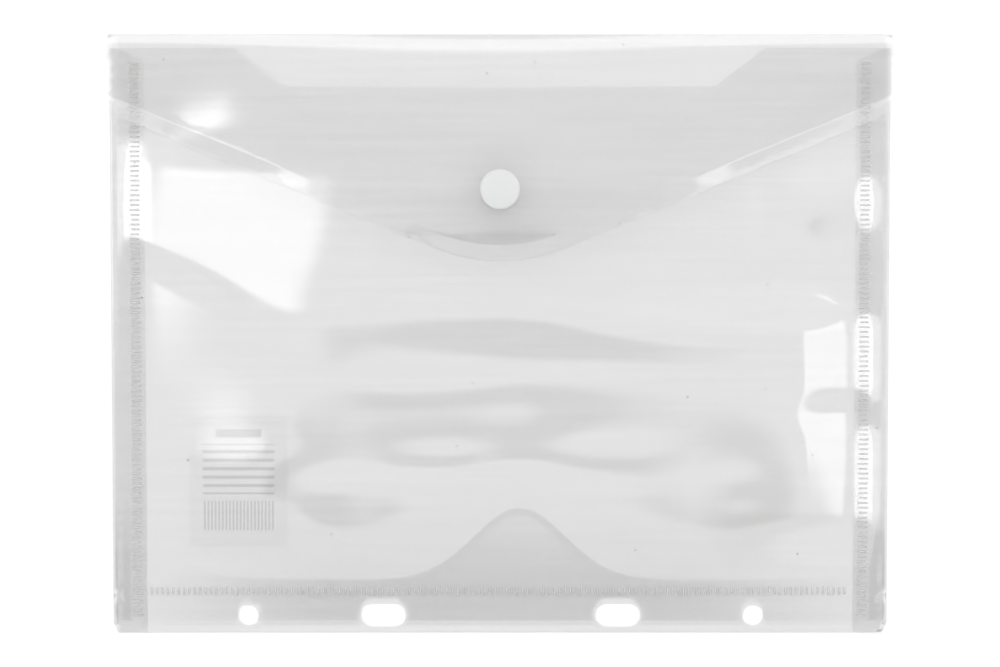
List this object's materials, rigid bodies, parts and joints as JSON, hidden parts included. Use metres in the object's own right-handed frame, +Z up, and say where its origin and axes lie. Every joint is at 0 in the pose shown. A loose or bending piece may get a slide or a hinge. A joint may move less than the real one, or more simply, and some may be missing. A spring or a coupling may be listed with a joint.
{
  "type": "document wallet",
  "caption": "Flat clear plastic document wallet with a V-shaped flap, a press stud, welded sides and a punched filing strip along the bottom.",
  "frame": {"origin": "centre of the outline, on the surface that the wallet lies on", "axes": "+X across the wallet to the right as seen from the front, +Y from the filing strip to the top crease, +Z up out of the front and flap"},
  "size_m": [0.2424, 0.1841, 0.0109],
  "materials": {
    "film": "clear glossy polypropylene film",
    "weld": "clear film pressed into bars by the weld tool",
    "press_stud": "moulded, milky white, satin gloss",
    "label": null
  },
  "bodies": {
    "pocket": {"back_panel": "film", "front_panel": "film", "filing_strip": "film", "left_flange": "film", "right_flange": "film", "left_weld": "weld", "right_weld": "weld", "bottom_weld": "weld", "top_crease": "film", "stud": "press_stud", "inner_cap": "press_stud", "label": "label"},
    "flap": {"flap_panel": "film", "outer_cap": "press_stud", "socket": "press_stud"}
  },
  "joints": [
    {"name": "flap_fold", "type": "hinge", "parent": "pocket", "child": "flap", "pos_m": [0, 0.0918, 0.0003], "axis": [-1, 0, 0], "range_deg": [0, 158]}
  ]
}
